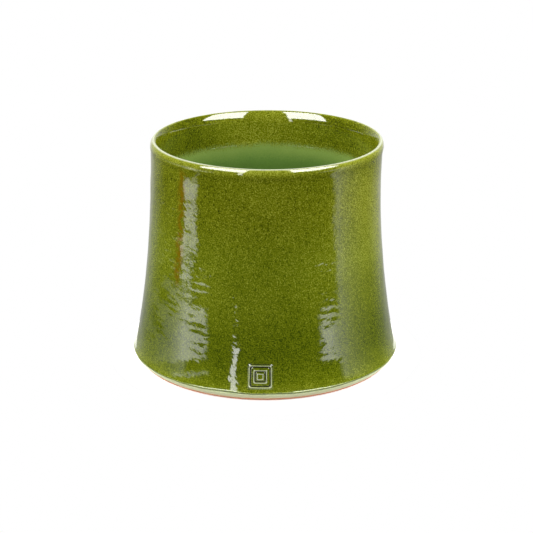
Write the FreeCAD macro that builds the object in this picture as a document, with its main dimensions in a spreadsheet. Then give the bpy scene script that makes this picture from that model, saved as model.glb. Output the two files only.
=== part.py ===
"""A wheel-made terracotta cover pot with a slip coat, two glazes and an applied seal tile.

Frame: millimetres, +Z up, the origin on the axis at the bottom of the foot, the seal at the front (-Y).

Every piece is turned about Z from a slice of the wall. A slice follows the wall line, the glazed surface,
which is a chain of tangent arcs from the heel, up the outside, over the lip, down the inside and round the
cavity's corner. A surface that lies deeper in the wall is the same chain with every radius changed by its
depth, so the coats and the clay meet face to face. The points worked out here only draw each sketch: its
constraints, bound to the sheet, hold it.
"""

import FreeCAD, Part
import math
import os

import Sketcher
from FreeCAD import Vector

# Driving dimensions in millimetres and degrees: alias, value, what it measures.
SIZES = (
    ("pot_height", 200, "foot to the top of the lip"),
    ("waist_radius", 101.3, "outer radius at the narrowest height"),
    ("waist_height", 178, "height of the narrowest radius"),
    ("wall_curve", 870, "radius of the long hollow curve of the wall"),
    ("wall_thickness", 7.3, "wall with its coats, outside to inside"),
    ("flare_curve", 140, "radius of the hollow flare above the foot"),
    ("flare_height", 54, "height of the flare's centre"),
    ("heel_curve", 3.4, "radius of the turn from the flare to the bevel"),
    ("heel_height", 7.4, "height of the heel's centre"),
    ("foot_radius", 112.6, "outer radius of the ground contact"),
    ("toe_curve", 2, "radius of the turn from the wiped bevel to the ground"),
    ("ring_radius", 96, "inner radius of the foot ring"),
    ("ring_depth", 2.5, "recess under the floor inside the foot ring"),
    ("ring_fillet", 1.2, "rounding of the foot ring's inner edges"),
    ("roll_curve", 30, "radius of the hollow under the lip roll"),
    ("roll_height", 186.7, "height of that hollow's centre"),
    ("shoulder_curve", 9, "radius of the lip's outer shoulder"),
    ("shoulder_height", 194.5, "height of the shoulder's centre, where the lip is widest"),
    ("lip_curve", 2, "radius of the lip's top edge"),
    ("inner_lip_curve", 18, "radius of the lip's inner slope"),
    ("corner_curve", 14, "radius of the cavity's corner"),
    ("floor_height", 10, "top of the glazed floor"),
    ("glaze_depth", 0.4, "thickness of either glaze"),
    ("coats_depth", 0.8, "thickness of glaze and slip together"),
    ("slip_edge", 6, "height where the slip stops above the bare foot"),
    ("glaze_edge", 9, "height where the outer glaze stops"),
    ("spray_line", 168, "height inside where the outer glaze meets the inner one"),
    ("seal_bottom", 12.5, "height of the seal tile's lower side"),
    ("seal_top", 32.5, "height of the seal tile's upper side"),
    ("seal_angle", 10, "width of the seal tile about the axis"),
    ("seal_relief", 0.7, "how far the tile stands out of the glaze"),
    ("seal_turn", -91.9, "turn about the axis that brings the tile to the front"),
    ("window_inner", 110, "inner radius of the cut that lets the tile through the coats"),
    ("window_outer", 123, "outer radius of the same cut"),
    ("panel_margin", 1.6, "width of the tile's raised frame"),
    ("panel_angle", 8.4, "width of the sunk panel about the axis"),
    ("panel_level", 0.1, "how far the panel stands out of the glaze"),
    ("island_margin", 5, "tile's side to the raised inner square"),
    ("island_angle", 5, "width of the inner square about the axis"),
    ("island_relief", 0.6, "how far the inner square stands out of the glaze"),
    ("middle_margin", 8, "tile's side to the hollow middle"),
    ("middle_angle", 2, "width of the hollow middle about the axis"),
    ("middle_level", 0.25, "how far the hollow middle stands out of the glaze"),
)

START, END, CENTRE = 1, 2, 3
GROUND, UPRIGHT = -1, -2
PLANE_NORMAL = Vector(0, 0, 1)
SAME_POINT = 1e-6
HEEL, FLARE, WALL, ROLL, SHOULDER, LIP, INNER_LIP, INNER_WALL, INNER_FLARE, CORNER = range(10)


def make_sheet(doc):
    """The spreadsheet that drives every size, one row for each dimension."""
    sheet = doc.addObject("Spreadsheet::Sheet", "sizes")
    for row, (alias, value, meaning) in enumerate(SIZES, start=1):
        sheet.set(f"A{row}", alias)
        sheet.set(f"B{row}", str(value))
        sheet.set(f"C{row}", meaning)
        sheet.setAlias(f"B{row}", alias)
    doc.recompute()
    return sheet


class WallArc:
    """One arc of the wall line, with the sheet formulas for its radius and its centre's place.

    side is 1 where the centre is in the air and -1 where it is towards the clay. swells is True where the
    surface is further from the axis than the centre. lone_reach is for an arc drawn without the neighbour that
    would place it.
    """

    def __init__(self, sheet, centre, side, radius, height=None, reach=None, lone_reach=None, swells=False):
        self.centre = centre
        self.side = side
        self.radius = sheet.evalExpression(radius)
        self.radius_rule = radius
        self.height_rule = height
        self.reach_rule = reach
        self.lone_reach_rule = lone_reach or reach
        self.swells = swells

    def radius_at(self, depth):
        return self.radius + self.side * depth

    def meeting(self, other, depth):
        """The point at that depth where this arc runs on into its neighbour."""
        along = other.centre - self.centre
        along.normalize()
        if self.side == other.side and self.radius < other.radius:
            along = along * -1
        return self.centre + along * self.radius_at(depth)

    def at_height(self, height, depth):
        reach = math.sqrt(self.radius_at(depth) ** 2 - (height - self.centre.y) ** 2)
        return Vector(self.centre.x + (reach if self.swells else -reach), height, 0)

    def towards(self, angle, depth):
        """The point on the arc in a direction given in degrees above the horizontal."""
        turn = math.radians(angle)
        return self.centre + Vector(math.cos(turn), math.sin(turn), 0) * self.radius_at(depth)


def beside(centre, height, distance):
    """The point at that height and distance from a centre, on its axis side."""
    return Vector(centre.x - math.sqrt(distance**2 - (centre.y - height) ** 2), height, 0)


def wall_line(sheet):
    """The arcs of the glazed surface in order, from the heel to the cavity's corner."""
    wall = Vector(sheet.waist_radius + sheet.wall_curve, sheet.waist_height, 0)
    flare = beside(wall, sheet.flare_height, sheet.wall_curve - sheet.flare_curve)
    heel = beside(flare, sheet.heel_height, sheet.flare_curve + sheet.heel_curve)
    roll = beside(wall, sheet.roll_height, sheet.wall_curve - sheet.roll_curve)
    shoulder = beside(roll, sheet.shoulder_height, sheet.roll_curve + sheet.shoulder_curve)
    lip_height = sheet.pot_height - sheet.lip_curve
    lip_rise = lip_height - sheet.shoulder_height
    lip_step = math.sqrt((sheet.shoulder_curve - sheet.lip_curve) ** 2 - lip_rise**2)
    lip = Vector(shoulder.x + lip_step, lip_height, 0)
    inner_curve = sheet.wall_curve + sheet.wall_thickness
    round_lip = Part.Circle(lip, PLANE_NORMAL, sheet.inner_lip_curve - sheet.lip_curve)
    round_wall = Part.Circle(wall, PLANE_NORMAL, inner_curve - sheet.inner_lip_curve)
    crossings = [Vector(point.X, point.Y, 0) for point in round_lip.intersect(round_wall)]
    inner_lip = min(crossings, key=lambda point: point.y)
    corner_height = sheet.floor_height + sheet.corner_curve
    corner_distance = sheet.flare_curve + sheet.wall_thickness + sheet.corner_curve
    corner = beside(flare, corner_height, corner_distance)
    wall_reach = "sizes.waist_radius + sizes.wall_curve"
    across = "(sizes.wall_curve - sizes.flare_curve) ^ 2 - (sizes.waist_height - sizes.flare_height) ^ 2"
    flare_reach = f"{wall_reach} - sqrt({across})"
    inner_wall = "sizes.wall_curve + sizes.wall_thickness"
    inner_flare = "sizes.flare_curve + sizes.wall_thickness"
    lip_centre = "sizes.pot_height - sizes.lip_curve"
    corner_centre = "sizes.floor_height + sizes.corner_curve"
    return [
        WallArc(sheet, heel, -1, "sizes.heel_curve", "sizes.heel_height", swells=True),
        WallArc(sheet, flare, 1, "sizes.flare_curve", "sizes.flare_height", lone_reach=flare_reach),
        WallArc(sheet, wall, 1, "sizes.wall_curve", "sizes.waist_height", wall_reach),
        WallArc(sheet, roll, 1, "sizes.roll_curve", "sizes.roll_height"),
        WallArc(sheet, shoulder, -1, "sizes.shoulder_curve", "sizes.shoulder_height", swells=True),
        WallArc(sheet, lip, -1, "sizes.lip_curve", lip_centre),
        WallArc(sheet, inner_lip, -1, "sizes.inner_lip_curve"),
        WallArc(sheet, wall, -1, inner_wall, "sizes.waist_height", wall_reach),
        WallArc(sheet, flare, -1, inner_flare, "sizes.flare_height"),
        WallArc(sheet, corner, 1, "sizes.corner_curve", corner_centre),
    ]


def short_arc(centre, radius, first, last):
    """The short way round a circle between two points on it."""
    start = math.atan2(first.y - centre.y, first.x - centre.x)
    stop = math.atan2(last.y - centre.y, last.x - centre.x)
    if (stop - start) % (2 * math.pi) > math.pi:
        start, stop = stop, start
    return Part.ArcOfCircle(Part.Circle(centre, PLANE_NORMAL, radius), start, stop)


class Slice:
    """A closed outline on a body's XZ plane, drawn edge after edge, with x outwards and y up."""

    def __init__(self, body, name, sheet, arcs):
        self.body = body
        self.sheet = sheet
        self.arcs = arcs
        self.edges = []
        self.sketch = body.newObject("Sketcher::SketchObject", name)
        plane = next(item for item in body.Origin.OriginFeatures if item.Role == "XZ_Plane")
        self.sketch.AttachmentSupport = [(plane, "")]
        self.sketch.MapMode = "FlatFace"

    def rule(self, kind, *references):
        self.sketch.addConstraint(Sketcher.Constraint(kind, *references))

    def hold(self, kind, *references, formula):
        """A constraint with a value that follows the sheet."""
        value = self.sheet.evalExpression(formula)
        index = self.sketch.addConstraint(Sketcher.Constraint(kind, *references, value))
        self.sketch.setExpression(f"Constraints[{index}]", formula)

    def draw(self, curve, start, end, joint):
        """Adds an edge that runs on from the last one, joined to it by Coincident or Tangent."""
        index = self.sketch.addGeometry(curve)
        forwards = self.sketch.getPoint(index, START).distanceToPoint(start) < SAME_POINT
        head, tail = (START, END) if forwards else (END, START)
        if self.edges:
            last, _, last_tail = self.edges[-1]
            self.rule(joint, last, last_tail, index, head)
        self.edges.append((index, head, tail))
        self.end = end
        return index

    def line(self, end, *rules, start=None, joint="Coincident"):
        """A straight edge to a point, held by rules such as Horizontal."""
        begin = start or self.end
        index = self.draw(Part.LineSegment(begin, end), begin, end, joint)
        for rule in rules:
            self.rule(rule, index)

    def arc(self, centre, radius, end, formula, joint="Tangent", begin=None):
        """An arc the short way round to a point, with its radius held by a formula."""
        begin = begin or self.end
        start_angle = math.atan2(begin.y - centre.y, begin.x - centre.x)
        end_angle = math.atan2(end.y - centre.y, end.x - centre.x)
        if (end_angle - start_angle) % (2 * math.pi) > math.pi:
            start_angle, end_angle = end_angle, start_angle
        circle = Part.Circle(centre, PLANE_NORMAL, radius)
        index = self.draw(Part.ArcOfCircle(circle, start_angle, end_angle), begin, end, joint)
        self.hold("Radius", index, formula=formula)
        return index

    def follow(self, stretch, depth, end, begin=None, joint="Tangent"):
        """Runs along neighbouring arcs of the wall line, at a depth, to a point on the last of them."""
        amount = self.sheet.evalExpression(depth)
        stretch = [self.arcs[number] for number in stretch]
        stops = [here.meeting(following, amount) for here, following in zip(stretch, stretch[1:])]
        for arc, stop in zip(stretch, [*stops, end]):
            sign = "+" if arc.side > 0 else "-"
            formula = f"{arc.radius_rule} {sign} ({depth})"
            index = self.arc(arc.centre, arc.radius_at(amount), stop, formula, joint, begin)
            if arc.height_rule:
                self.hold("DistanceY", index, CENTRE, formula=arc.height_rule)
            reach_rule = arc.reach_rule if len(stretch) > 1 else arc.lone_reach_rule
            if reach_rule:
                self.hold("DistanceX", index, CENTRE, formula=reach_rule)
            joint, begin = "Tangent", None

    def start_rule(self, kind, formula):
        """Holds the first point's height (DistanceY) or its distance from the axis (DistanceX)."""
        index, head, _ = self.edges[0]
        self.hold(kind, index, head, formula=formula)

    def end_rule(self, kind, formula):
        """Holds the running end's height (DistanceY) or its distance from the axis (DistanceX)."""
        index, _, tail = self.edges[-1]
        self.hold(kind, index, tail, formula=formula)

    def start_on(self, axis):
        index, head, _ = self.edges[0]
        self.rule("PointOnObject", index, head, axis)

    def end_on(self, axis):
        index, _, tail = self.edges[-1]
        self.rule("PointOnObject", index, tail, axis)

    def close(self, *rules):
        """A last straight edge back to the first point."""
        first, head, _ = self.edges[0]
        self.line(self.sketch.getPoint(first, head), *rules)
        index, _, tail = self.edges[-1]
        self.rule("Coincident", index, tail, first, head)

    def turn(self, kind, name, angle=None):
        """Turns the outline about Z: all the way, or by an angle half to each side of the body's +X."""
        feature = self.body.newObject(kind, name)
        feature.Profile = (self.sketch, [""])
        feature.ReferenceAxis = (self.sketch, ["V_Axis"])
        feature.Angle = 360
        if angle:
            feature.Midplane = True
            feature.setExpression("Angle", angle)
        self.sketch.Visibility = False
        return feature


def new_body(doc, label, turned=False):
    """A body named after its sub-part. A turned one faces the front, where the seal is."""
    body = doc.addObject("PartDesign::Body", label)
    body.Label = label
    if turned:
        body.Placement = FreeCAD.Placement(Vector(), FreeCAD.Rotation(PLANE_NORMAL, 1))
        body.setExpression("Placement.Rotation.Angle", "sizes.seal_turn")
    return body


def foot_tangent(sheet, heel):
    """The toe's centre and the direction, in degrees, that the bevel between toe and heel faces."""
    toe = Vector(sheet.foot_radius, sheet.toe_curve, 0)
    across = heel.centre - toe
    difference = sheet.toe_curve - heel.radius_at(sheet.coats_depth)
    facing = math.atan2(across.y, across.x) - math.acos(difference / across.Length)
    return toe, math.degrees(facing)


def make_clay_body(doc, sheet, arcs):
    """The fired wall, floor and foot ring, thrown and turned in one piece."""
    body = new_body(doc, "clay_body")
    depth = sheet.coats_depth
    toe, facing = foot_tangent(sheet, arcs[HEEL])
    turn = math.radians(facing)
    toe_end = toe + Vector(math.cos(turn), math.sin(turn), 0) * sheet.toe_curve
    outline = Slice(body, "clay_slice", sheet, arcs)
    underside = Vector(0, sheet.ring_depth, 0)
    outline.line(Vector(sheet.ring_radius, sheet.ring_depth, 0), "Horizontal", start=underside)
    outline.start_on(UPRIGHT)
    outline.start_rule("DistanceY", "sizes.ring_depth")
    outline.end_rule("DistanceX", "sizes.ring_radius")
    outline.line(Vector(sheet.ring_radius, 0, 0), "Vertical")
    outline.end_on(GROUND)
    outline.line(Vector(sheet.foot_radius, 0, 0), "Horizontal")
    outline.end_rule("DistanceX", "sizes.foot_radius")
    outline.arc(toe, sheet.toe_curve, toe_end, "sizes.toe_curve")
    outline.line(arcs[HEEL].towards(facing, depth), joint="Tangent")
    outline.follow(range(HEEL, CORNER + 1), "sizes.coats_depth", arcs[CORNER].towards(-90, depth))
    outline.line(Vector(0, sheet.floor_height - depth, 0), "Horizontal", joint="Tangent")
    outline.end_on(UPRIGHT)
    outline.close()
    turned = outline.turn("PartDesign::Revolution", "clay_turned")
    doc.recompute()
    ring_edges = [
        f"Edge{number}"
        for number, edge in enumerate(turned.Shape.Edges, start=1)
        if isinstance(edge.Curve, Part.Circle) and abs(edge.Curve.Radius - sheet.ring_radius) < SAME_POINT
    ]
    fillet = body.newObject("PartDesign::Fillet", "ring_rounding")
    fillet.Base = (turned, ring_edges)
    fillet.setExpression("Radius", "sizes.ring_fillet")
    return body


def make_coat(doc, sheet, arcs, label, stretch, surface, back, edge_rule, floor):
    """A thin coat along a stretch of the wall line, between the depths of its surface and its back.

    It starts at a height. It ends at the spray line or, with floor, runs on across the floor to the axis.
    """
    body = new_body(doc, label, turned=True)
    outline = Slice(body, label + "_slice", sheet, arcs)
    top, bottom, edge = (sheet.evalExpression(rule) for rule in (surface, back, edge_rule))
    first, last = arcs[stretch[0]], arcs[stretch[-1]]
    begin = first.at_height(edge, top)
    if floor:
        outline.follow(stretch, surface, last.towards(-90, top), begin)
        outline.line(Vector(0, sheet.floor_height - top, 0), "Horizontal", joint="Tangent")
        outline.end_on(UPRIGHT)
        outline.line(Vector(0, sheet.floor_height - bottom, 0))
        outline.end_on(UPRIGHT)
        outline.line(last.towards(-90, bottom), "Horizontal")
        joint = "Tangent"
    else:
        outline.follow(stretch, surface, last.at_height(sheet.spray_line, top), begin)
        outline.end_rule("DistanceY", "sizes.spray_line")
        outline.line(last.at_height(sheet.spray_line, bottom), "Horizontal")
        joint = "Coincident"
    outline.follow(stretch[::-1], back, first.at_height(edge, bottom), joint=joint)
    outline.close("Horizontal")
    outline.start_rule("DistanceY", edge_rule)
    outline.turn("PartDesign::Revolution", label + "_turned")
    return body


def cut_seal_window(doc, sheet, arcs, body):
    """The place in a coat where the seal tile's own clay stands instead."""
    outline = Slice(body, body.Label + "_window", sheet, arcs)
    low, high = sheet.seal_bottom, sheet.seal_top
    near, far = sheet.window_inner, sheet.window_outer
    outline.line(Vector(far, low, 0), "Horizontal", start=Vector(near, low, 0))
    outline.start_rule("DistanceX", "sizes.window_inner")
    outline.start_rule("DistanceY", "sizes.seal_bottom")
    outline.end_rule("DistanceX", "sizes.window_outer")
    outline.line(Vector(far, high, 0), "Vertical")
    outline.end_rule("DistanceY", "sizes.seal_top")
    outline.line(Vector(near, high, 0), "Horizontal")
    outline.close("Vertical")
    cut_groove(doc, outline, body.Label + "_opening", "sizes.seal_angle")


def cut_groove(doc, outline, name, angle):
    """A groove that is checked to take something away."""
    doc.recompute()
    before = outline.body.Shape.Volume
    outline.turn("PartDesign::Groove", name, angle)
    doc.recompute()
    if outline.body.Shape.Volume > before - SAME_POINT:
        raise RuntimeError(f"{name} cuts nothing")


def make_seal_tile(doc, sheet, arcs):
    """A small square pad of clay on the wall, pressed with plain squares one inside another."""
    body = new_body(doc, "seal_tile", turned=True)
    both, lower = [FLARE, WALL], [FLARE]
    pad = Slice(body, "seal_slice", sheet, arcs)
    band(pad, both, "0", "-sizes.seal_relief", "sizes.coats_depth")
    pad.turn("PartDesign::Revolution", "seal_pad", "sizes.seal_angle")
    panel = Slice(body, "panel_slice", sheet, arcs)
    recess(panel, both, "sizes.panel_margin", "-sizes.panel_level")
    cut_groove(doc, panel, "seal_panel", "sizes.panel_angle")
    island = Slice(body, "island_slice", sheet, arcs)
    band(island, lower, "sizes.island_margin", "-sizes.island_relief", "sizes.glaze_depth")
    island.turn("PartDesign::Revolution", "seal_island", "sizes.island_angle")
    middle = Slice(body, "middle_slice", sheet, arcs)
    recess(middle, lower, "sizes.middle_margin", "-sizes.middle_level")
    cut_groove(doc, middle, "seal_middle", "sizes.middle_angle")
    return body


def seal_front(outline, stretch, margin, surface):
    """The front of one of the seal's squares, a margin in from the tile's sides. Returns its two heights."""
    low = f"sizes.seal_bottom + {margin}"
    high = f"sizes.seal_top - {margin}"
    first, last = outline.arcs[stretch[0]], outline.arcs[stretch[-1]]
    bottom, top, depth = (outline.sheet.evalExpression(rule) for rule in (low, high, surface))
    outline.follow(stretch, surface, last.at_height(top, depth), first.at_height(bottom, depth))
    outline.start_rule("DistanceY", low)
    outline.end_rule("DistanceY", high)
    return bottom, top


def band(outline, stretch, margin, surface, back):
    """Clay between two depths of the wall."""
    bottom, top = seal_front(outline, stretch, margin, surface)
    deep = outline.sheet.evalExpression(back)
    outline.line(outline.arcs[stretch[-1]].at_height(top, deep), "Horizontal")
    start = outline.arcs[stretch[0]].at_height(bottom, deep)
    outline.follow(stretch[::-1], back, start, joint="Coincident")
    outline.close("Horizontal")


def recess(outline, stretch, margin, surface):
    """The air in front of a sunk square, as far out as the window's cut."""
    bottom, top = seal_front(outline, stretch, margin, surface)
    outline.line(Vector(outline.sheet.window_outer, top, 0), "Horizontal")
    outline.end_rule("DistanceX", "sizes.window_outer")
    outline.line(Vector(outline.sheet.window_outer, bottom, 0), "Vertical")
    outline.close("Horizontal")


def check(doc, bodies):
    """Stops on any failed object, loose sketch or bad solid."""
    for item in doc.Objects:
        if {"Invalid", "Error"} & set(item.State):
            raise RuntimeError(f"{item.Name} failed: {item.State}")
        if item.isDerivedFrom("Sketcher::SketchObject") and not item.FullyConstrained:
            raise RuntimeError(f"{item.Name} is not fully constrained")
    for body in bodies:
        if body.Shape.isNull() or not body.Shape.isValid() or len(body.Shape.Solids) != 1:
            raise RuntimeError(f"{body.Label} is not one valid solid")


def export(bodies):
    os.makedirs("parts", exist_ok=True)
    for body in bodies:
        body.Shape.exportStep(f"parts/{body.Label}.step")
        box = body.Shape.optimalBoundingBox(False)
        size = f"{box.XLength:.1f} x {box.YLength:.1f} x {box.ZLength:.1f} mm"
        print(f"{body.Label}: {size}, {body.Shape.Volume / 1000:.1f} cm3")


def main():
    doc = FreeCAD.newDocument("cover_pot")
    sheet = make_sheet(doc)
    arcs = wall_line(sheet)
    glaze, slip = "sizes.glaze_depth", "sizes.coats_depth"
    whole = range(HEEL, CORNER + 1)
    outside = range(FLARE, INNER_WALL + 1)
    inside = range(INNER_WALL, CORNER + 1)
    clay_body = make_clay_body(doc, sheet, arcs)
    slip_coat = make_coat(doc, sheet, arcs, "slip_coat", whole, glaze, slip, "sizes.slip_edge", True)
    outer_glaze = make_coat(doc, sheet, arcs, "outer_glaze", outside, "0", glaze, "sizes.glaze_edge", False)
    inner_glaze = make_coat(doc, sheet, arcs, "inner_glaze", inside, "0", glaze, "sizes.spray_line", True)
    cut_seal_window(doc, sheet, arcs, slip_coat)
    cut_seal_window(doc, sheet, arcs, outer_glaze)
    seal_tile = make_seal_tile(doc, sheet, arcs)
    doc.recompute()
    bodies = [clay_body, slip_coat, outer_glaze, inner_glaze, seal_tile]
    check(doc, bodies)
    export(bodies)


main()
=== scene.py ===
"""Looks of the glazed terracotta cover pot: its coats, seal tile, materials and studio, in metres."""

import math

import bpy
import numpy as np
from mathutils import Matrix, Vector


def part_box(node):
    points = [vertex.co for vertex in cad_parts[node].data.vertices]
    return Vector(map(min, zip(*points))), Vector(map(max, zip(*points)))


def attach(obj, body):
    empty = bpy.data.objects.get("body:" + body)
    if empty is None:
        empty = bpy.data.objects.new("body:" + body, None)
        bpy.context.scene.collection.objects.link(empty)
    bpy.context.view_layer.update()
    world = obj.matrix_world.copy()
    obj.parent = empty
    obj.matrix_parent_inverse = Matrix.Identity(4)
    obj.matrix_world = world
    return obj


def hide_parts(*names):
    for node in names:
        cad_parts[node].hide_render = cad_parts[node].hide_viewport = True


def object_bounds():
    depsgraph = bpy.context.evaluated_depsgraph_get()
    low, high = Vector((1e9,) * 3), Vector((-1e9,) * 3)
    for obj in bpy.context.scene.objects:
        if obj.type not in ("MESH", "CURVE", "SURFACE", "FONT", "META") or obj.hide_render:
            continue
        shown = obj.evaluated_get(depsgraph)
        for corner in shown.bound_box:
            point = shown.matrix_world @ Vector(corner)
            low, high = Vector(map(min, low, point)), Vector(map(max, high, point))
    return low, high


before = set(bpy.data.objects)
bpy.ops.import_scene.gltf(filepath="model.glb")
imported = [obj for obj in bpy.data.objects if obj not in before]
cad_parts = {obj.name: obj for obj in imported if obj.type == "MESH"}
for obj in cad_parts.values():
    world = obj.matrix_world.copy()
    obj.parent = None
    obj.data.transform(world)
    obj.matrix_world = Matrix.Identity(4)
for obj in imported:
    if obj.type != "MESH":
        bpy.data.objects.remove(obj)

CAD_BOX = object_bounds()
HEIGHT = CAD_BOX[1].z
MM = 0.001

# The wall line: the chain of tangent arcs that the glazed surface follows.
WAIST_RADIUS = 101.3 * MM
WAIST_HEIGHT = 178 * MM
WALL_CURVE = 870 * MM
WALL_THICKNESS = 7.3 * MM
FLARE_CURVE = 140 * MM
FLARE_HEIGHT = 54 * MM
HEEL_CURVE = 3.4 * MM
HEEL_HEIGHT = 7.4 * MM
FOOT_RADIUS = 112.6 * MM
TOE_CURVE = 2 * MM
ROLL_CURVE = 30 * MM
ROLL_HEIGHT = 186.7 * MM
SHOULDER_CURVE = 9 * MM
SHOULDER_HEIGHT = 194.5 * MM
LIP_CURVE = 2 * MM
INNER_LIP_CURVE = 18 * MM
INNER_LIP_HEIGHT = 188.5 * MM
CORNER_CURVE = 14 * MM
RING_RADIUS = 96 * MM
RING_DEPTH = 2.5 * MM
RING_ROUND = 1.2 * MM

# Heights that the CAD pieces give.
COAT = 0.4 * MM
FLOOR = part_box("inner_glaze")[0].z + COAT
SLIP_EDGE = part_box("slip_coat")[0].z
GLAZE_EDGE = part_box("outer_glaze")[0].z
SPRAY_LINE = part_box("inner_glaze")[1].z
OVERLAP = 0.05 * MM

SEGMENTS = 512
TURN = 2 * math.pi
SEED = 7


class Arc:
    """One arc of the wall line, in the plane of radius and height.

    bend is its radius: positive where the clay bulges and negative where it is hollowed.
    """

    def __init__(self, radius, height, bend):
        self.centre = np.array([radius, height])
        self.bend = bend

    def then(self, height, bend, side):
        """The tangent arc whose centre is at a height, on one side (1 outwards, -1 inwards)."""
        drop = self.centre[1] - height
        reach = math.sqrt((self.bend - bend) ** 2 - drop**2)
        return Arc(self.centre[0] + side * reach, height, bend)

    def meeting(self, other):
        """The point where two tangent arcs touch."""
        share = self.bend / (self.bend - other.bend)
        return self.centre + (other.centre - self.centre) * share

    def angle(self, point):
        across = point - self.centre
        return math.atan2(across[1], across[0])

    def facing(self, angle):
        """The way out of the clay at an angle round the arc's centre."""
        return np.array([math.cos(angle), math.sin(angle)]) * math.copysign(1, self.bend)

    def trace(self, begin, end, step=0.15 * MM):
        """Points and outward directions from one angle to another, the shorter way round."""
        sweep = (end - begin + math.pi) % TURN - math.pi
        count = max(4, math.ceil(abs(sweep * self.bend) / step))
        angles = begin + sweep * np.arange(count + 1) / count
        facing = np.array([self.facing(angle) for angle in angles])
        return self.centre + facing * self.bend, facing


class Line:
    """A line in the plane of radius and height, with its outward directions, by the distance along it."""

    def __init__(self, points, facing):
        steps = np.linalg.norm(np.diff(points, axis=0), axis=1)
        keep = np.concatenate([[True], steps > 1e-9])
        self.points, self.facing = points[keep], facing[keep]
        steps = np.linalg.norm(np.diff(self.points, axis=0), axis=1)
        self.places = np.concatenate([[0], np.cumsum(steps)])
        self.length = self.places[-1]
        self.top = self.places[np.argmax(self.points[:, 1])]

    def at(self, place, depth=0.0):
        """Radius and height at a distance along the line and a depth into the clay."""
        radius, height = (np.interp(place, self.places, self.points[:, i]) for i in (0, 1))
        out, up = (np.interp(place, self.places, self.facing[:, i]) for i in (0, 1))
        return radius - out * depth, height - up * depth

    def outside(self, height, depth=0.0):
        """The distance along the line where it passes a height on the way up."""
        rising = self.places[self.places <= self.top]
        return np.interp(height, self.at(rising, depth)[1], rising)

    def inside(self, height, depth=0.0):
        """The distance along the line where it passes a height on the way down."""
        falling = self.places[self.places >= self.top]
        return np.interp(-height, -self.at(falling, depth)[1], falling)


def straight(begin, end, facing, step=0.5 * MM):
    """Points along a straight run that faces one way."""
    count = max(1, math.ceil(np.linalg.norm(end - begin) / step))
    share = np.arange(count + 1)[:, None] / count
    return begin + (end - begin) * share, np.tile(facing, (count + 1, 1))


def wall_arcs():
    """The ten arcs from the heel, up the outside, over the lip and down the inside."""
    wall = Arc(WAIST_RADIUS + WALL_CURVE, WAIST_HEIGHT, -WALL_CURVE)
    flare = wall.then(FLARE_HEIGHT, -FLARE_CURVE, -1)
    heel = flare.then(HEEL_HEIGHT, HEEL_CURVE, -1)
    roll = wall.then(ROLL_HEIGHT, -ROLL_CURVE, -1)
    shoulder = roll.then(SHOULDER_HEIGHT, SHOULDER_CURVE, -1)
    lip = shoulder.then(HEIGHT - LIP_CURVE, LIP_CURVE, 1)
    inner_wall = Arc(*wall.centre, WALL_CURVE + WALL_THICKNESS)
    inner_lip = lip.then(INNER_LIP_HEIGHT, INNER_LIP_CURVE, 1)
    inner_flare = Arc(*flare.centre, FLARE_CURVE + WALL_THICKNESS)
    corner = inner_flare.then(FLOOR + CORNER_CURVE, -CORNER_CURVE, -1)
    return [heel, flare, wall, roll, shoulder, lip, inner_lip, inner_wall, inner_flare, corner]


def bevel_angle(heel):
    """The way that the wiped bevel between the toe and the heel faces."""
    toe = np.array([FOOT_RADIUS, TOE_CURVE])
    across = heel.centre - toe
    difference = TOE_CURVE - (heel.bend - 2 * COAT)
    return math.atan2(across[1], across[0]) - math.acos(difference / np.linalg.norm(across))


def glazed_line(arcs):
    """The whole glazed surface, from the heel's bevel to the middle of the floor."""
    joints = [first.meeting(second) for first, second in zip(arcs, arcs[1:])]
    begins = [bevel_angle(arcs[0])] + [arc.angle(joint) for arc, joint in zip(arcs[1:], joints)]
    ends = [arc.angle(joint) for arc, joint in zip(arcs, joints)] + [-math.pi / 2]
    runs = [arc.trace(begin, end) for arc, begin, end in zip(arcs, begins, ends)]
    corner_end = runs[-1][0][-1]
    runs.append(straight(corner_end, np.array([0, corner_end[1]]), [0, 1]))
    return Line(*(np.concatenate([run[i] for run in runs]) for i in (0, 1)))


def foot_line(heel):
    """The bare underside: the recess, the ring, the ground contact and the bevel up to the heel."""
    ring_top = Arc(RING_RADIUS - RING_ROUND, RING_DEPTH - RING_ROUND, -RING_ROUND)
    ring_edge = Arc(RING_RADIUS + RING_ROUND, RING_ROUND, RING_ROUND)
    toe = Arc(FOOT_RADIUS, TOE_CURVE, TOE_CURVE)
    bevel = bevel_angle(heel)
    toe_end = toe.centre + toe.facing(bevel) * TOE_CURVE
    heel_start = heel.centre + heel.facing(bevel) * (HEEL_CURVE - 2 * COAT)
    recess_end = np.array([RING_RADIUS - RING_ROUND, RING_DEPTH])
    ground_start, ground_end = np.array([RING_RADIUS + RING_ROUND, 0]), np.array([FOOT_RADIUS, 0])
    runs = [
        straight(np.array([0, RING_DEPTH]), recess_end, [0, -1]),
        ring_top.trace(math.pi / 2, 0),
        ring_edge.trace(-math.pi, -math.pi / 2),
        straight(ground_start, ground_end, [0, -1]),
        toe.trace(-math.pi / 2, bevel),
        straight(toe_end, heel_start, toe.facing(bevel)),
    ]
    return Line(*(np.concatenate([run[i] for run in runs]) for i in (0, 1)))


def smooth(value, low, high):
    """0 below low, 1 above high and a smooth rise between."""
    share = np.clip((value - low) / (high - low), 0, 1)
    return share * share * (3 - 2 * share)


def places(*stops):
    """Distances along a line, from (place, step) stops: each step holds as far as the next stop."""
    made = []
    for (begin, step), (end, _) in zip(stops, stops[1:]):
        count = max(1, round(abs(end - begin) / step))
        made.append(np.linspace(begin, end, count, endpoint=False))
    return np.concatenate(made + [[stops[-1][0]]])


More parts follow.
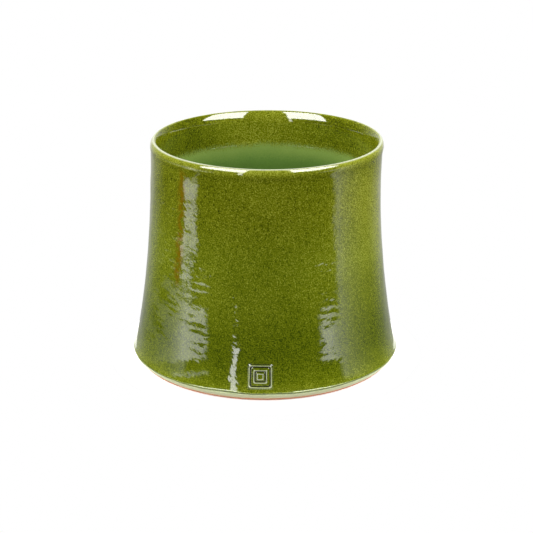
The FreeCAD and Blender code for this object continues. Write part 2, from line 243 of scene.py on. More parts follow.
def wavering(angles, size, seed, fewest=3, most=23):
    """An uneven edge round the pot: a seeded sum of waves, about size high."""
    rng = np.random.default_rng(seed)
    counts = np.arange(fewest, most)
    heights = rng.normal(size=len(counts)) / np.sqrt(counts)
    phases = rng.uniform(0, TURN, len(counts))
    waves = heights[:, None] * np.cos(counts[:, None] * angles + phases[:, None])
    return size * waves.sum(axis=0) / np.sqrt((heights**2).sum() / 2)


def ripple(points, shortest, longest, seed, count=40):
    """A seeded field of waves in space with a spread of 1, longer around the pot than up it."""
    rng = np.random.default_rng(seed)
    ways = rng.normal(size=(count, 3)) * [0.6, 0.6, 1]
    ways /= np.linalg.norm(ways, axis=1)[:, None]
    ways *= TURN / rng.uniform(shortest, longest, count)[:, None]
    phases = rng.uniform(0, TURN, count)
    return np.cos(points @ ways.T + phases).sum(axis=1) * math.sqrt(2 / count)


LEAN = 0.4 * MM
LIP_LEAN = 1.7 * MM
OVAL = 0.25 * MM
RIM_WAVE = 0.12 * MM
BROAD_RIPPLE = 0.05 * MM
FINE_RIPPLE = 0.010 * MM
THROWING = 0.018 * MM
THROWING_PITCH = 6.5 * MM
FLOOR_SPIRAL = 0.22 * MM
SPIRAL_PITCH = 8 * MM


def handmade(points):
    """The lean and unevenness that throwing and firing leave, the same for the clay and every coat."""
    x, y, z = points.T
    radius = np.maximum(np.hypot(x, y), MM)
    angle = np.arctan2(y, x)
    share = z / HEIGHT
    off_ground = smooth(z, 2 * MM, 25 * MM)
    strength = 0.6 + 0.4 * np.cos(3 * angle + 25 * share)
    turning = THROWING * np.sin(TURN * z / THROWING_PITCH + angle) * strength
    uneven = BROAD_RIPPLE * ripple(points, 14 * MM, 34 * MM, SEED) + FINE_RIPPLE * ripple(
        points, 5 * MM, 9 * MM, SEED + 1
    )
    out = off_ground * (turning + uneven) + OVAL * share * np.cos(2 * angle + 0.9)
    on_floor = smooth(z, 4 * MM, 8 * MM) * smooth(-z, -16 * MM, -11 * MM)
    on_floor = on_floor * smooth(-radius, -84 * MM, -70 * MM) * smooth(radius, 0, 8 * MM)
    spiral = FLOOR_SPIRAL * on_floor * np.cos(TURN * radius / SPIRAL_PITCH - angle)
    rim = RIM_WAVE * share**6 * np.cos(2 * angle - 0.5)
    return points + np.column_stack(
        [
            x / radius * out + LEAN * share + LIP_LEAN * share**7,
            y / radius * out,
            rim + spiral,
        ]
    )


def grid_faces(rows, columns, closed_rows, closed_columns):
    """Four-sided faces over a grid of points that may close on itself either way."""
    last_row = rows if closed_rows else rows - 1
    last_column = columns if closed_columns else columns - 1
    row, column = np.meshgrid(np.arange(last_row), np.arange(last_column), indexing="ij")
    row, column = row.ravel(), column.ravel()
    next_row, next_column = (row + 1) % rows, (column + 1) % columns
    corners = ((row, column), (row, next_column), (next_row, next_column), (next_row, column))
    return np.column_stack([r * columns + c for r, c in corners])


def make_piece(name, points, faces, fields=()):
    """A smooth-shaded mesh object with numbers stored at its points for its material to read."""
    mesh = bpy.data.meshes.new(name)
    mesh.from_pydata(handmade(points).tolist(), [], [face for face in faces])
    mesh.update()
    mesh.shade_smooth()
    for label, values in dict(fields).items():
        attribute = mesh.attributes.new(label, "FLOAT", "POINT")
        attribute.data.foreach_set("value", np.ascontiguousarray(values, np.float32))
    piece = bpy.data.objects.new(name, mesh)
    bpy.context.scene.collection.objects.link(piece)
    return piece


def turned(name, radii, heights, fields=(), poles=False):
    """A closed piece from rings round the axis. radii and heights hold a row for each ring.

    With poles, the first and last rings lie on the axis and become a point each.
    """
    angles = np.linspace(0, TURN, radii.shape[1], endpoint=False)
    rows, columns = radii.shape
    points = np.stack([radii * np.cos(angles), radii * np.sin(angles), heights], axis=2).reshape(-1, 3)
    fields = {label: values.ravel() for label, values in dict(fields).items()}
    if not poles:
        return make_piece(name, points, grid_faces(rows, columns, True, True).tolist(), fields)
    kept = slice(columns, -columns)
    first, last = (rows - 2) * columns, (rows - 2) * columns + 1
    points = np.concatenate([points[kept], points[:1], points[-1:]])
    fields = {label: np.concatenate([v[kept], v[:1], v[-1:]]) for label, v in fields.items()}
    faces = grid_faces(rows - 2, columns, False, True).tolist()
    for column in range(columns):
        following = (column + 1) % columns
        faces.append([first, following, column])
        faces.append([last, (rows - 3) * columns + column, (rows - 3) * columns + following])
    return make_piece(name, points, faces, fields)


# How the coats lie: distances from their edges and how far they thin or gather there.
EDGE_WAVER = 0.2 * MM
WAVER_REACH = 6 * MM
GLAZE_SAG = 1.2 * MM
BEAD = 0.16 * MM
BEAD_PLACE = 0.9 * MM
BEAD_WIDTH = 0.7 * MM
EDGE_ROUND = 0.5 * MM
LIP_BREAK = 11 * MM
LIP_BREAK_POWER = 1.3
INNER_BREAK = 2.5 * MM
GATHER_START = 1.8 * MM
GATHER_FULL = 0.3 * MM
LIP_OUTER_DROP = 10 * MM
LIP_INNER_DROP = 12 * MM
EDGE_REACH = 3 * MM
FINE_STEP = 0.25 * MM
LIP_STEP = 0.4 * MM
WALL_STEP = 1.35 * MM
LINING_STEP = 2 * MM
HIDDEN_STEP = 9 * MM
END_STEP = 0.1 * MM
ANGLES = np.linspace(0, TURN, SEGMENTS, endpoint=False)


def rounded(distance):
    """How thick a coat is that rounds up from its edge."""
    return COAT * np.sqrt(np.clip(distance / EDGE_ROUND, 0, 1))


def beaded(distance):
    """How thick a coat is that also gathers in a bead just above its edge."""
    gathered = BEAD * np.exp(-(((distance - BEAD_PLACE) / BEAD_WIDTH) ** 2))
    return rounded(distance) * (1 + gathered / COAT)


def coat_side(line, stops, edge, waver, depth):
    """Radii and heights of one side of a coat. depth is how deep it lies at distances from its edge."""
    from_edge = (stops - edge)[:, None]
    slide = waver * smooth(-from_edge, -WAVER_REACH, 0)
    return line.at(stops[:, None] + slide, depth(from_edge) + 0 * ANGLES)


def hidden_depth(level):
    """The back of a coat, sunk a little into what it lies on so that no gap shows."""
    return lambda distance: level + OVERLAP + 0 * distance


def make_outer_glaze(line):
    """The olive glaze: up the outside, over the lip and down the inside to the spray line."""
    edge, end = line.outside(GLAZE_EDGE - GLAZE_SAG), line.inside(SPRAY_LINE)
    lip_out, lip_in = line.outside(HEIGHT - LIP_OUTER_DROP), line.inside(HEIGHT - LIP_INNER_DROP)
    front = places(
        (edge, FINE_STEP),
        (edge + EDGE_REACH, WALL_STEP),
        (lip_out, LIP_STEP),
        (lip_in, WALL_STEP),
        (end - END_STEP, END_STEP),
        (end, 0),
    )
    back = places((end, HIDDEN_STEP), (edge, 0))
    waver = wavering(ANGLES, EDGE_WAVER, SEED + 2)
    shown = coat_side(line, front, edge, waver, lambda distance: COAT - beaded(distance))
    hidden = coat_side(line, back, edge, waver, hidden_depth(COAT))
    radii, heights = (np.concatenate(sides) for sides in zip(shown, hidden))
    along = np.concatenate([front, back])[:, None] + 0 * ANGLES
    outwards = line.top - along
    outer_break = smooth(-outwards, -LIP_BREAK, 0) ** LIP_BREAK_POWER
    inner_break = smooth(outwards, -INNER_BREAK, 0)
    thin = np.where(outwards > 0, outer_break, inner_break)
    # Where the glaze gathers at its lower edge; its dark line there is partly painted shade.
    gathered = smooth(edge - along, -GATHER_START, -GATHER_FULL)
    return turned("outer_glaze_coat", radii, heights, {"thin": thin, "gathered": gathered})


def make_slip(line):
    """The pale slip under both glazes, bare only in a band above the foot."""
    edge = line.outside(SLIP_EDGE, COAT)
    band_end = line.outside(GLAZE_EDGE) + 2 * MM
    front = places((edge, FINE_STEP), (band_end, HIDDEN_STEP / 2), (line.length, 0))
    back = places((line.length, HIDDEN_STEP), (edge, 0))
    waver = wavering(ANGLES, EDGE_WAVER, SEED + 3)
    shown = coat_side(line, front, edge, waver, lambda distance: 2 * COAT - rounded(distance))
    hidden = coat_side(line, back, edge, waver, hidden_depth(2 * COAT))
    radii, heights = (np.concatenate(sides) for sides in zip(hidden, shown))
    return turned("slip_coat_band", radii, heights, poles=True)


def make_lining(line):
    """The bluish green coat on the lower inner wall and the floor."""
    start = line.inside(SPRAY_LINE)
    front = places((start, END_STEP), (start + END_STEP, LINING_STEP), (line.length, 0))
    back = places((line.length, HIDDEN_STEP), (start, 0))
    still = 0 * ANGLES
    shown = coat_side(line, front, start, still, lambda distance: 0 * distance)
    hidden = coat_side(line, back, start, still, hidden_depth(COAT))
    radii, heights = (np.concatenate(sides) for sides in zip(hidden, shown))
    return turned("inner_glaze_coat", radii, heights, poles=True)


def make_clay(line, foot):
    """The clay body: its bare foot and underside, and the wall and floor under the coats."""
    ring_start = RING_RADIUS - 2 * RING_ROUND
    ring_end = RING_RADIUS + 2 * RING_ROUND
    under = places((0, HIDDEN_STEP / 2), (ring_start, FINE_STEP), (ring_end, WALL_STEP), (foot.length, 0))
    below = foot.at(under[:, None] + 0 * ANGLES)
    heel_end = line.outside(GLAZE_EDGE)
    upper = places((WALL_STEP / 4, FINE_STEP), (heel_end, HIDDEN_STEP / 2), (line.length, 0))
    above = line.at(upper[:, None] + 0 * ANGLES, 2 * COAT)
    radii, heights = (np.concatenate(parts) for parts in zip(below, above))
    return turned("clay_body_fired", radii, heights, poles=True)


# The seal tile: plain squares one inside another, pressed into a pad of clay under the glaze.
TILE_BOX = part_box("seal_tile")
TILE_CENTRE = (TILE_BOX[0] + TILE_BOX[1]) / 2
TILE_SIDE = TILE_BOX[1].z - TILE_BOX[0].z
TILE_SKIRT = 1.3 * MM
TILE_DEPTH = 1.2 * MM
TILE_POINTS = 150
SQUARES = (0.6 * MM, 4.6 * MM, 7.6 * MM)
SQUARE_WIDTH = 0.48 * MM
SQUARE_HEIGHT = 0.3 * MM
GROOVES = (1.75 * MM, 5.75 * MM)
GROOVE_WIDTH = 0.52 * MM
GROOVE_DEPTH = 0.3 * MM
PAD_LEVEL = 0.45 * MM
OUTSIDE_DROP = 0.25 * MM
SQUARENESS = 12


def tile_relief(inwards, above):
    """How far the tile stands out, how thin its glaze is, and where it is dark: glaze gathered in the
    grooves, partly painted shade, and a painted shadow above its top side.

    inwards is the distance in from the tile's side. above is 1 at its top side and -1 at its bottom.
    """
    pad = PAD_LEVEL * smooth(inwards, -TILE_SKIRT, 0)
    crests = sum(np.exp(-(((inwards - place) / SQUARE_WIDTH) ** 4)) for place in SQUARES)
    grooves = sum(np.exp(-(((inwards - place) / GROOVE_WIDTH) ** 4)) for place in GROOVES)
    outside_drop = OUTSIDE_DROP * smooth(-inwards, 0.6 * MM, TILE_SKIRT)
    # Painted shadow: a dark line just outside the tile's top side, where the raised tile shades the wall.
    shade = smooth(-np.abs(inwards + 0.5 * MM), -0.6 * MM, 0) * smooth(above, 0.8, 0.95)
    relief = pad + SQUARE_HEIGHT * crests - outside_drop - GROOVE_DEPTH * grooves
    return relief, smooth(crests, 0.4, 0.8), np.clip(grooves + shade, 0, 1)


def make_tile(line):
    """The tile's face draped over the wall, closed by a back inside the clay."""
    half = TILE_SIDE / 2
    reach = half + TILE_SKIRT
    spots = np.linspace(-reach, reach, TILE_POINTS)
    across, up = np.meshgrid(spots, spots, indexing="xy")
    norm = ((np.abs(across) / half) ** SQUARENESS + (np.abs(up) / half) ** SQUARENESS) ** (1 / SQUARENESS)
    relief, thin, gathered = tile_relief(half * (1 - norm), up / half)
    middle = math.hypot(TILE_CENTRE.x, TILE_CENTRE.y)
    angles = math.atan2(TILE_CENTRE.y, TILE_CENTRE.x) + across / middle
    place = line.outside(TILE_CENTRE.z) + up
    sides = []
    for depth in (-relief, TILE_DEPTH + 0 * relief):
        radii, heights = line.at(place, depth)
        points = np.stack([radii * np.cos(angles), radii * np.sin(angles), heights], axis=2)
        sides.append(points.reshape(-1, 3))
    face = grid_faces(TILE_POINTS, TILE_POINTS, False, False)
    count = TILE_POINTS**2
    back = face[:, ::-1] + count
    last = TILE_POINTS - 1
    run = np.arange(last)
    border = np.concatenate([run, run * TILE_POINTS + last, count - 1 - run, (last - run) * TILE_POINTS])
    following = np.roll(border, -1)
    rim = np.column_stack([following, border, border + count, following + count])
    fields = {"thin": np.tile(thin.ravel(), 2), "gathered": np.tile(gathered.ravel(), 2)}
    faces = np.concatenate([face, back, rim]).tolist()
    return make_piece("seal_tile_pressed", np.concatenate(sides), faces, fields)


class Field:
    """A number that varies over a surface: a socket of a node tree that takes arithmetic."""

    def __init__(self, tree, socket):
        self.tree, self.socket = tree, socket

    def maths(self, operation, *others):
        node = self.tree.nodes.new("ShaderNodeMath")
        node.operation = operation
        for slot, value in zip(node.inputs, (self, *others)):
            if isinstance(value, Field):
                self.tree.links.new(value.socket, slot)
            else:
                slot.default_value = value
        return Field(self.tree, node.outputs[0])

    def __add__(self, other):
        return self.maths("ADD", other)

    def __sub__(self, other):
        return self.maths("SUBTRACT", other)

    def __mul__(self, other):
        return self.maths("MULTIPLY", other)

    def __truediv__(self, other):
        return self.maths("DIVIDE", other)

    def __neg__(self):
        return self * -1

    def __pow__(self, other):
        return self.maths("POWER", other)

    def size(self):
        return self.maths("ABSOLUTE")

    def smooth(self, low, high):
        """0 at low, 1 at high and a smooth change between; high may be the smaller."""
        node = self.tree.nodes.new("ShaderNodeMapRange")
        node.interpolation_type = "SMOOTHSTEP"
        self.tree.links.new(self.socket, node.inputs["Value"])
        low, high, ends = (low, high, (0, 1)) if low < high else (high, low, (1, 0))
        for label, value in zip(("From Min", "From Max", "To Min", "To Max"), (low, high, *ends)):
            node.inputs[label].default_value = value
        return Field(self.tree, node.outputs["Result"])

    def bell(self, width):
        """1 where the number is 0, falling to nothing about two widths away."""
        share = self / width
        return (-(share * share)).maths("EXPONENT")


def noise(tree, coordinates, size, detail=2.0, stretch=(1, 1, 1), shift=0.0):
    """Seeded unevenness about 0, with features of about a size in metres."""
    mapping = tree.nodes.new("ShaderNodeMapping")
    mapping.inputs["Location"].default_value = (shift, -shift, 2 * shift)
    mapping.inputs["Scale"].default_value = [part / size for part in stretch]
    texture = tree.nodes.new("ShaderNodeTexNoise")
    texture.inputs["Scale"].default_value = 1
    texture.inputs["Detail"].default_value = detail
    tree.links.new(coordinates, mapping.inputs["Vector"])
    tree.links.new(mapping.outputs[0], texture.inputs["Vector"])
    return Field(tree, texture.outputs["Fac"]) - 0.5


def stored(tree, label):
    """A number that the mesh holds at its points."""
    node = tree.nodes.new("ShaderNodeAttribute")
    node.attribute_name = label
    return Field(tree, node.outputs["Fac"])


def mixed(tree, share, first, second):
    """One colour or colour socket turning into another."""
    node = tree.nodes.new("ShaderNodeMix")
    node.data_type = "RGBA"
    tree.links.new(share.socket, node.inputs["Factor"])
    for value, slot in zip((first, second), node.inputs[6:8]):
        if isinstance(value, tuple):
            slot.default_value = (*value, 1)
        else:
            tree.links.new(value, slot)
    return node.outputs[2]


def ramp(tree, share, stops):
    """A colour from a number, through (place, colour) stops."""
    node = tree.nodes.new("ShaderNodeValToRGB")
    points = node.color_ramp.elements
    while len(points) < len(stops):
        points.new(0.5)
    for point, (place, colour) in zip(points, stops):
        point.position, point.color = place, (*colour, 1)
    tree.links.new(share.socket, node.inputs[0])
    return node.outputs["Color"]


def place_fields(tree):
    """The position socket, in the row frame, and its three numbers."""
    node = tree.nodes.new("ShaderNodeTexCoord")
    split = tree.nodes.new("ShaderNodeSeparateXYZ")
    tree.links.new(node.outputs["Object"], split.inputs[0])
    return node.outputs["Object"], [Field(tree, output) for output in split.outputs]


def finish_material(material, colour, roughness, height):
    """Joins a colour, a roughness and a surface height in metres to the material's shader."""
    tree = material.node_tree
    shader = tree.nodes["Principled BSDF"]
    bump = tree.nodes.new("ShaderNodeBump")
    bump.inputs["Distance"].default_value = 1
    tree.links.new(height.socket, bump.inputs["Height"])
    tree.links.new(bump.outputs[0], shader.inputs["Normal"])
    tree.links.new(colour, shader.inputs["Base Color"])
    tree.links.new(roughness.socket, shader.inputs["Roughness"])
    return material


def new_material(name, refraction):
    """A material with a shader of its own, and its node tree."""
    material = bpy.data.materials.new(name)
    material.use_nodes = True
    shader = material.node_tree.nodes["Principled BSDF"]
    shader.inputs["IOR"].default_value = refraction
    return material, material.node_tree


# The materials: refraction, colours and where the features of the glaze lie.
GLAZE_REFRACTION = 1.62
SLIP_REFRACTION = 1.5
CLAY_REFRACTION = 1.45
OLIVE_STOPS = (
    (0.0, (0.018, 0.024, 0.0005)),
    (0.35, (0.078, 0.094, 0.0014)),
    (0.62, (0.140, 0.160, 0.004)),
    (1.0, (0.290, 0.315, 0.035)),
)
GREENER = (0.050, 0.135, 0.002)
# Pale grey where the glaze thins on the lip's top and the tile's crests, and a painted reflection of the
# bright studio on the lip.
THIN_GLAZE_AND_SHEEN = (0.50, 0.53, 0.44)
# Nearly black: glaze gathered at its lower edge and in the tile's grooves, darker still as painted shade, and
# the painted shadow above the tile.
GATHERED_GLAZE_AND_SHADE = (0.006, 0.007, 0.001)
LINING_STOPS = (
    (0.0, (0.085, 0.165, 0.030)),
    (0.35, (0.112, 0.205, 0.040)),
    (1.0, (0.225, 0.320, 0.070)),
)
SLIP_STOPS = ((0.1, (0.26, 0.32, 0.12)), (0.5, (0.44, 0.49, 0.26)), (0.9, (0.60, 0.62, 0.38)))
CLAY_STOPS = ((0.1, (0.38, 0.13, 0.06)), (0.5, (0.58, 0.23, 0.12)), (0.9, (0.74, 0.38, 0.22)))
GROG = (0.80, 0.58, 0.42)
WASH = (0.50, 0.50, 0.32)
WASH_EDGE = 2.0 * MM
STREAK_COLOUR = (0.150, 0.096, 0.001)
STREAK_ANGLE = math.radians(-43.8)
STREAK_WIDTH = 3.8 * MM
STREAK_LEAN = 0.04
STREAK_LOW, STREAK_HIGH = 84 * MM, 196 * MM


def glaze_waves(tree, position, fields):
    """The soft waves in fired glaze, which sag down towards the front."""
    x, y, z = fields
    join = tree.nodes.new("ShaderNodeCombineXYZ")
    for field, slot in zip((x, y, z - x.size() * 0.45), join.inputs):
        tree.links.new(field.socket, slot)
    sagged = join.outputs[0]
    waves = noise(tree, sagged, 5.5 * MM, 1, (1.2, 1.2, 1.4)) * (0.115 * MM)
    fine = noise(tree, sagged, 2.0 * MM, 1, (1, 1, 1.2), 3.0) * (0.006 * MM)
    pits = noise(tree, position, 0.8 * MM, 0, shift=5.0) * (0.002 * MM)
    calm = z.smooth(HEIGHT - 50 * MM, HEIGHT - 14 * MM) * -0.8 + 1
    low = z.smooth(120 * MM, 85 * MM) * x.size().smooth(35 * MM, 50 * MM) * -0.55 + 1
    sides = x.size().smooth(20 * MM, 50 * MM) * 0.3 + 0.7
    return (waves + fine) * calm * low * sides + pits


def inside(fields):
    """1 on the inner wall and 0 on the outer one, above the spray line."""
    x, y, _ = fields
    return ((x * x + y * y) ** 0.5).smooth(98.5 * MM, 96.5 * MM)


def olive_colour(tree, position, fields, extra):
    """The olive glaze: its grain, its clouds, the bands where it ran thicker or thinner, and painted shade
    and light on the upper inner wall.
    """
    x, y, z = fields
    grain = noise(tree, position, 1.0 * MM, 1.5) * 1.7 + noise(tree, position, 3.4 * MM, 2, shift=1.0) * 0.3
    clouds = noise(tree, position, 30 * MM, 2, (1, 1, 0.6), 2.0) * 0.3
    dark_band = (z - 0.042).bell(0.024) * -0.15
    foot_band = (z - 0.010).bell(0.006) * 0.12 + (z - 0.105).bell(0.035) * 0.05
    thin_side = (x - 0.092).bell(0.034) * z.smooth(0.080, 0.120) * z.smooth(0.205, 0.165) * 0.19
    bands = dark_band + foot_band + thin_side
    lines = noise(tree, position, 6 * MM, 1, (0.1, 0.1, 4)) * x.smooth(0, 0.05) * 0.35
    # Painted shade and light on the upper inner wall: darker at its left and right, lighter in its middle and
    # a little lighter all over; the lines are its throwing lines.
    sides = (x + 0.072).bell(0.024) * -0.22 + (x - 0.075).bell(0.030) * -0.20
    inner = x.bell(0.035) * 0.12 + sides + lines + 0.04
    inside_lines_and_painted_light = inside(fields) * z.smooth(150 * MM, 165 * MM) * inner
    colour = ramp(tree, grain + clouds + bands + inside_lines_and_painted_light + extra, OLIVE_STOPS)
    return mixed(tree, z.smooth(0.165, 0.110) * 0.13, colour, GREENER)


def lining_colour(tree, position, fields):
    """The green lining, paler where the spray thinned towards its upper edge."""
    z = fields[2]
    cloud = noise(tree, position, 22 * MM, 2) * 0.3 + noise(tree, position, 1.2 * MM, 1) * 0.35
    pale = z.smooth(SPRAY_LINE - 24 * MM, SPRAY_LINE + 1 * MM)
    return ramp(tree, cloud + pale * 0.8 + 0.1, LINING_STOPS)


def misted(tree, position, fields):
    """How much of the colour is the lining's: all of it low down, none above the misty spray line."""
    z = fields[2]
    specks = noise(tree, position, 1.2 * MM, 2, shift=1.0) * (11 * MM)
    drift = noise(tree, position, 20 * MM, 1, shift=8.0) * (5 * MM)
    return (z + specks + drift).smooth(SPRAY_LINE + 4 * MM, SPRAY_LINE - 4 * MM) * inside(fields)


def streak_share(tree, position, fields):
    """How much of the colour is the orange brown of the run on the front left."""
    x, y, z = fields
    across = x * math.cos(STREAK_ANGLE) + y * math.sin(STREAK_ANGLE) + (-z + WAIST_HEIGHT) * STREAK_LEAN
    across = across + noise(tree, position, 9 * MM, 2, shift=4.0) * (6 * MM)
    ahead = x * math.sin(STREAK_ANGLE) - y * math.cos(STREAK_ANGLE)
    height = z.smooth(STREAK_LOW, STREAK_LOW + 0.015) * z.smooth(STREAK_HIGH, STREAK_HIGH - 0.012)
    patchy = noise(tree, position, 4 * MM, 3, shift=6.0).smooth(-0.16, 0.06)
    grainy = noise(tree, position, 1.0 * MM, 1.5).smooth(-0.2, 0.05) * 0.5 + 0.5
    return across.bell(STREAK_WIDTH) * ahead.smooth(0, 0.02) * height * patchy * grainy


def make_olive_glaze():
    """The glaze of the outside and the tile: pale where it thins, with a painted reflection on the lip; dark
    where it gathers, partly painted shade; dull at the foot.
    """
    material, tree = new_material("olive_glaze", GLAZE_REFRACTION)
    position, fields = place_fields(tree)
    thin, gathered = stored(tree, "thin"), stored(tree, "gathered")
    colour = olive_colour(tree, position, fields, thin * 0.36 - gathered * 0.3 + 0.5)
    colour = mixed(tree, streak_share(tree, position, fields), colour, STREAK_COLOUR)
    # Painted reflection over thin glaze: the lip's top and the tile's crests turn pale grey.
    colour = mixed(tree, thin.smooth(0.88, 1.0) * 0.6, colour, THIN_GLAZE_AND_SHEEN)
    at_foot = fields[2].smooth(GLAZE_EDGE + 3 * MM, GLAZE_EDGE + 1 * MM)
    # Nearly black where the glaze gathers, partly painted shade, and in the painted shadow above the tile;
    # less dark right at the glaze's lower edge.
    colour = mixed(tree, gathered.smooth(0.3, 0.9) * (at_foot * -0.5 + 0.9), colour, GATHERED_GLAZE_AND_SHADE)
    colour = mixed(tree, misted(tree, position, fields), colour, lining_colour(tree, position, fields))
    dull_edge = gathered.smooth(0, 0.3) * at_foot * 0.5
    roughness = noise(tree, position, 2 * MM, 1, shift=7.0) * 0.03 + dull_edge + 0.05
    return finish_material(material, colour, roughness, glaze_waves(tree, position, fields))


def make_green_lining():
    """A plainer glaze that mists into the olive one at its upper edge."""
    material, tree = new_material("green_lining", GLAZE_REFRACTION)
    position, fields = place_fields(tree)
    olive = olive_colour(tree, position, fields, 0.5)
    colour = mixed(tree, misted(tree, position, fields), olive, lining_colour(tree, position, fields))
    roughness = noise(tree, position, 3 * MM, 1) * 0.05 + 0.16
    return finish_material(material, colour, roughness, glaze_waves(tree, position, fields))


def make_pale_slip():
    """The pale, faintly green slip of the bare band."""
    material, tree = new_material("pale_slip", SLIP_REFRACTION)
    position, _ = place_fields(tree)
    cloud = noise(tree, position, 7 * MM, 3) * 0.8 + noise(tree, position, 1 * MM, 1) * 0.5 + 0.5
    colour = ramp(tree, cloud, SLIP_STOPS)
    roughness = noise(tree, position, 2 * MM, 1) * 0.1 + 0.3
    height = noise(tree, position, 1.5 * MM, 2) * (0.03 * MM)
    return finish_material(material, colour, roughness, height)


def make_terracotta():
    """Bare terracotta with pale grog, and a pale wash over it above the very foot."""
    material, tree = new_material("terracotta", CLAY_REFRACTION)
    position, fields = place_fields(tree)
    cloud = noise(tree, position, 14 * MM, 3) * 0.8 + noise(tree, position, 0.9 * MM, 2) * 0.6 + 0.5
    colour = ramp(tree, cloud, CLAY_STOPS)
    grog = noise(tree, position, 1.1 * MM, 0, shift=3.0).smooth(0.2, 0.27)
    colour = mixed(tree, grog * 0.7, colour, GROG)
    uneven = fields[2] + noise(tree, position, 2.5 * MM, 2, shift=5.0) * (1.6 * MM)
    wash = uneven.smooth(WASH_EDGE, WASH_EDGE + 1.2 * MM)
    colour = mixed(tree, wash, colour, WASH)
    roughness = noise(tree, position, 1 * MM, 1) * 0.1 + 0.85
    height = noise(tree, position, 0.9 * MM, 3) * (0.12 * MM)
    return finish_material(material, colour, roughness, height)


# The studio. Directions are degrees round from the front (-Y, right positive) and above the horizon.
FLOOR_RADIUS = 0.7 * HEIGHT
CAMERA_AWAY = 6.732 * HEIGHT
CAMERA_UP = 2.814 * HEIGHT
CAMERA_ASIDE = 0.007 * HEIGHT
CAMERA_DIP = math.radians(19.72)
CAMERA_LENS = 107.2
SENSOR = 36
LAMP_DISTANCE = 1.5
LAMP_SIDE = 1.0
# Each lamp: its name, how far round it stands, how far above and its power in watts.
LAMPS = (
    ("front_left", -47, 40, 17),
    ("front_right", 49, 40, 17),
    ("side_left", -100, 20, 20),
    ("side_right", 100, 20, 20),
    ("back", 180, 45, 15),
)
FILL = 0.28
FLOOR_LIGHT = 0.45
# How bright the studio's parts are in the glaze.
LEFT_PANEL = 2.5
RIGHT_PANEL = 3.3
HIGH_BOX = 15
SLIT = 7
GLINT = 2.2
CEILING = 0.35
DARK = 0.02
SLIT_TURN = -26.3


def torn(above, shift):
    """How far a panel's edge strays, in degrees, which gives the reflection its teeth."""
    coarse = (above * 9.7 + shift).maths("SINE") * 1.8
    return coarse + (above * 16.3 + shift * 2).maths("SINE") * 1.4


def left_panel(left, above):
    """The low light on the left: a wide panel that fades to the back, a narrow one under it and a glint."""
    edge = above.smooth(-8.2, -10.6) * 21 + above.smooth(-7.2, -4.8) * 20 + 53 + torn(above, 1.0)
    fade = ((left - 77) * -0.060).maths("MINIMUM", 0).maths("EXPONENT") * (left.smooth(94, 74) * 0.3 + 1)
    heights = above.smooth(-3.5, -5.5) * 0.7 + above.smooth(4, 0) * 0.3
    low_side = (above + (left - 75).maths("MAXIMUM", 0) * 0.06).smooth(-11.5, -10.5)
    wide = (left - edge).smooth(-1, 1) * fade * low_side * heights * LEFT_PANEL
    centre = above.smooth(-18, -14) * 4.5 + 75.2
    half = (above + 17.2).bell(0.35) * 4.5 + above.smooth(-16.4, -15.4) * 7.5
    half = half + above.smooth(-13.4, -12.6) * -3 + 0.8
    across = (left - centre + torn(above, 2.0) * 0.5).size() - half
    narrow = across.smooth(0.6, -0.6) * above.smooth(-12, -12.6) * (above.smooth(-18, -14) * 1.8 + 1.2)
    glint = left.smooth(48, 54) * left.smooth(88, 80) * (above - 2).bell(0.8) * GLINT
    return wide + narrow + glint


def right_panel(right, above):
    """The low light on the right, brightest at its front edge."""
    edge = above.smooth(-8.3, -10.4) * 21.5 + above.smooth(-7.0, -5.0) * 20.5 + 50.5 + torn(above, 3.0)
    fade = ((right - 61) * -0.072).maths("MINIMUM", 0).maths("EXPONENT")
    return (right - edge).smooth(-1, 1) * fade * above.smooth(6, 1) * RIGHT_PANEL


def high_boxes(right, above):
    """The two soft boxes above, either side of the camera."""
    left_box = (-right).smooth(22, 24) * (-right).smooth(71, 69)
    right_box = right.smooth(24, 26) * right.smooth(76, 74)
    return (left_box + right_box) * above.smooth(20, 22) * above.smooth(62, 60) * HIGH_BOX


def glow(tree):
    """What the glaze reflects: low side panels, high soft boxes, a slit, a white back and a dark front."""
    node = tree.nodes.new("ShaderNodeTexCoord")
    split = tree.nodes.new("ShaderNodeSeparateXYZ")
    tree.links.new(node.outputs["Generated"], split.inputs[0])
    x, y, z = (Field(tree, output) for output in split.outputs)
    right = x.maths("ARCTAN2", -y) * math.degrees(1)
    above = z.maths("ARCSINE") * math.degrees(1)
    slit = (right - SLIT_TURN).size().smooth(2.7, 1.9) * above.smooth(-6.0, -5.4) * above.smooth(25, 15)
    back = right.size().smooth(112, 170) * above.smooth(-35, -25) * above.smooth(50, 35)
    back = back * (above.smooth(-20, -8) * 0.6 + 0.45)
    ceiling = above.smooth(58, 70) * CEILING
    lights = left_panel(-right, above) + right_panel(right, above) + high_boxes(right, above)
    return lights + slit * SLIT + back + ceiling + DARK


def seen_white(tree):
    """Two numbers that are 1 for what is seen straight or through glass, and for what is seen in gloss."""
    path = tree.nodes.new("ShaderNodeLightPath")
    straight_on = Field(tree, path.outputs["Is Camera Ray"])
    through = Field(tree, path.outputs["Is Transmission Ray"])
    return straight_on.maths("MAXIMUM", through), Field(tree, path.outputs["Is Glossy Ray"])


def make_world():
    """White behind the object, the studio's glow in the gloss, and an even fill light."""
    world = bpy.data.worlds.new("studio")
    world.use_nodes = True
    tree = world.node_tree
    seen, glossy = seen_white(tree)
    strength = glossy * glow(tree) + (-glossy + 1) * FILL
    strength = seen + (-seen + 1) * strength
    tree.links.new(strength.socket, tree.nodes["Background"].inputs["Strength"])
    tree.nodes["Background"].inputs["Color"].default_value = (1, 1, 1, 1)
    bpy.context.scene.world = world


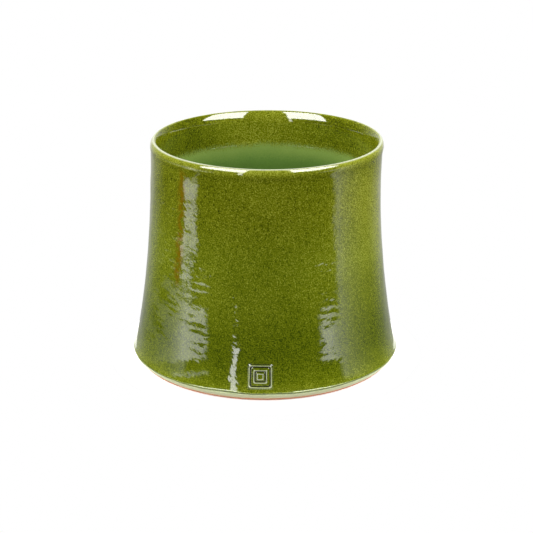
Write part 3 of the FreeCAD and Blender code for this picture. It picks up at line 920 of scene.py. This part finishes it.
def make_floor():
    """A round pale table top, with a light of its own that only the eye and gloss see, so shadows stay."""
    mesh = bpy.data.meshes.new("floor")
    rim = [(FLOOR_RADIUS * math.cos(a), FLOOR_RADIUS * math.sin(a), 0) for a in ANGLES]
    mesh.from_pydata(rim, [], [range(SEGMENTS)])
    floor = bpy.data.objects.new("floor", mesh)
    bpy.context.scene.collection.objects.link(floor)
    material = bpy.data.materials.new("pale_floor")
    material.use_nodes = True
    tree = material.node_tree
    shader = tree.nodes["Principled BSDF"]
    shader.inputs["Base Color"].default_value = (0.8, 0.8, 0.8, 1)
    shader.inputs["Roughness"].default_value = 1
    shader.inputs["Specular IOR Level"].default_value = 0
    seen, glossy = seen_white(tree)
    shader.inputs["Emission Color"].default_value = (1, 1, 1, 1)
    own_light = seen.maths("MAXIMUM", glossy) * FLOOR_LIGHT
    tree.links.new(own_light.socket, shader.inputs["Emission Strength"])
    mesh.materials.append(material)


def make_lamp(name, turn, above, power):
    """A soft box that faces the pot. The glaze shows the studio's glow in place of the lamp itself."""
    light = bpy.data.lights.new(name, "AREA")
    light.energy, light.size = power, LAMP_SIDE
    lamp = bpy.data.objects.new(name, light)
    turn, above = math.radians(turn), math.radians(above)
    way = Vector((math.sin(turn) * math.cos(above), -math.cos(turn) * math.cos(above), math.sin(above)))
    lamp.location = way * LAMP_DISTANCE + Vector((0, 0, HEIGHT / 2))
    lamp.rotation_mode = "QUATERNION"
    lamp.rotation_quaternion = way.to_track_quat("Z", "Y")
    lamp.visible_glossy = False
    bpy.context.scene.collection.objects.link(lamp)


def make_camera():
    """The photograph's camera: far away, a little above the pot and looking down at it."""
    data = bpy.data.cameras.new("camera")
    data.lens, data.sensor_width = CAMERA_LENS, SENSOR
    camera = bpy.data.objects.new("camera", data)
    camera.location = (CAMERA_ASIDE, -CAMERA_AWAY, CAMERA_UP)
    camera.rotation_euler = (math.pi / 2 - CAMERA_DIP, 0, 0)
    bpy.context.scene.collection.objects.link(camera)
    bpy.context.scene.camera = camera


def make_pot():
    """Every piece of the pot, with its material, its CAD node and its slot."""
    arcs = wall_arcs()
    line, foot = glazed_line(arcs), foot_line(arcs[0])
    olive = make_olive_glaze()
    pieces = (
        (make_clay(line, foot), "clay_body", "terracotta", make_terracotta()),
        (make_slip(line), "slip_coat", "slip", make_pale_slip()),
        (make_outer_glaze(line), "outer_glaze", "olive_glaze", olive),
        (make_lining(line), "inner_glaze", "green_lining", make_green_lining()),
        (make_tile(line), "seal_tile", "olive_glaze", olive),
    )
    for piece, node, slot, material in pieces:
        piece.data.materials.append(material)
        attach(piece, "root")
        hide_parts(node)


make_camera()
make_pot()
make_floor()
make_world()
for lamp in LAMPS:
    make_lamp(*lamp)
bpy.context.scene.view_settings.view_transform = "Standard"
